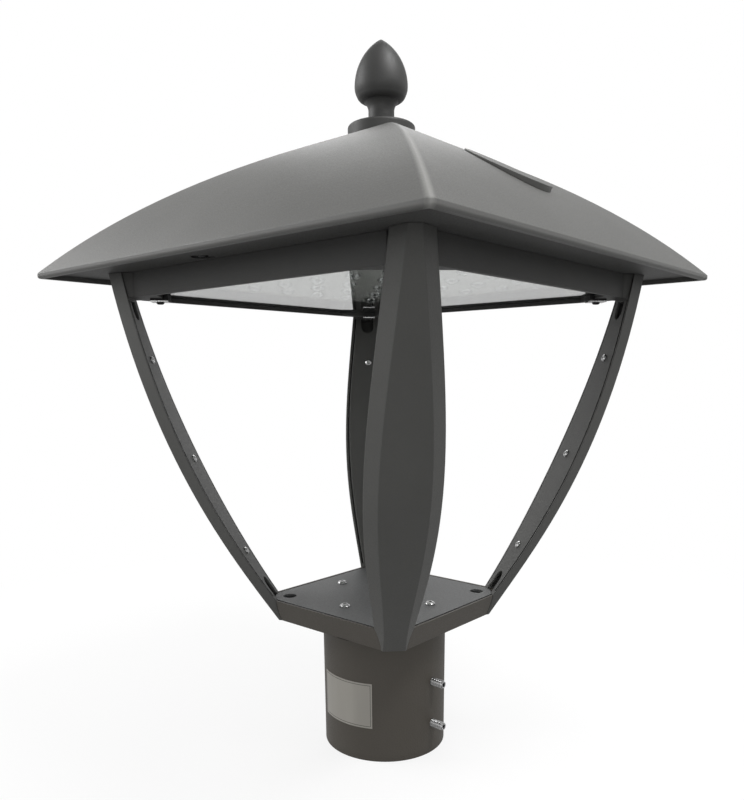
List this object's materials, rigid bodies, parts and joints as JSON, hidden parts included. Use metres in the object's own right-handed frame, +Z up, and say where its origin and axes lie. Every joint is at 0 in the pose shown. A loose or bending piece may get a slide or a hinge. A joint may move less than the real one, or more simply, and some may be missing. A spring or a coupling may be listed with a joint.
{
  "type": "post-top led garden lantern",
  "caption": "Square hat roof with an acorn finial over a flat glass light panel, carried by bowed leaf-shaped arms that rise from a cast base with a pole-top sleeve.",
  "frame": {"origin": "centre of the pole sleeve's bottom rim", "axes": "+Z up along the pole, +X towards the roof panel with the round cover, -Y towards the label"},
  "size_m": [0.502, 0.502, 0.732],
  "materials": {
    "roof_coat": "fine textured dark grey powder coat",
    "body_coat": "fine textured dark grey powder coat",
    "finial_coat": "satin dark grey powder coat",
    "sensor_plastic": "moulded grey plastic",
    "stainless": "plain stainless steel",
    "label_foil": "blank satin silver film",
    "seal_rubber": "black rubber",
    "clear_glass": "clear toughened flat glass",
    "tray_metal": "bright rolled sheet with a fine hammered surface",
    "board_white": "white solder mask",
    "lens_clear": "clear moulded optics",
    "driver_case": "plain drawn case",
    "terminal_plastic": "moulded insulating plastic"
  },
  "bodies": {
    "root": {"roof_canopy": "roof_coat", "base_casting": "body_coat", "base_lid": "body_coat", "right_arm": "body_coat", "back_arm": "body_coat", "left_arm": "body_coat", "front_arm": "body_coat", "right_arm_cover": "body_coat", "back_arm_cover": "body_coat", "left_arm_cover": "body_coat", "front_arm_cover": "body_coat", "light_frame": "body_coat", "soffit_plate": "body_coat", "finial_collar": "finial_coat", "finial": "finial_coat", "sensor_cover": "sensor_plastic", "sensor_nut": "sensor_plastic", "set_screws": "stainless", "lid_screws": "stainless", "arm_cover_screws": "stainless", "arm_head_bolts": "stainless", "arm_foot_bolts": "stainless", "clip_screws": "stainless", "board_screws": "stainless", "driver_screws": "stainless", "soffit_screws": "stainless", "frame_screws": "stainless", "terminal_screws": "stainless", "glass_clips": "stainless", "finial_stud": "stainless", "finial_nut": "stainless", "rating_label": "label_foil", "lid_gasket": "seal_rubber", "glass_gasket": "seal_rubber", "clip_pads": "seal_rubber", "cable_grommet": "seal_rubber", "glass": "clear_glass", "led_tray": "tray_metal", "led_board": "board_white", "led_lenses": "lens_clear", "led_driver": "driver_case", "terminal_block": "terminal_plastic"}
  },
  "joints": []
}
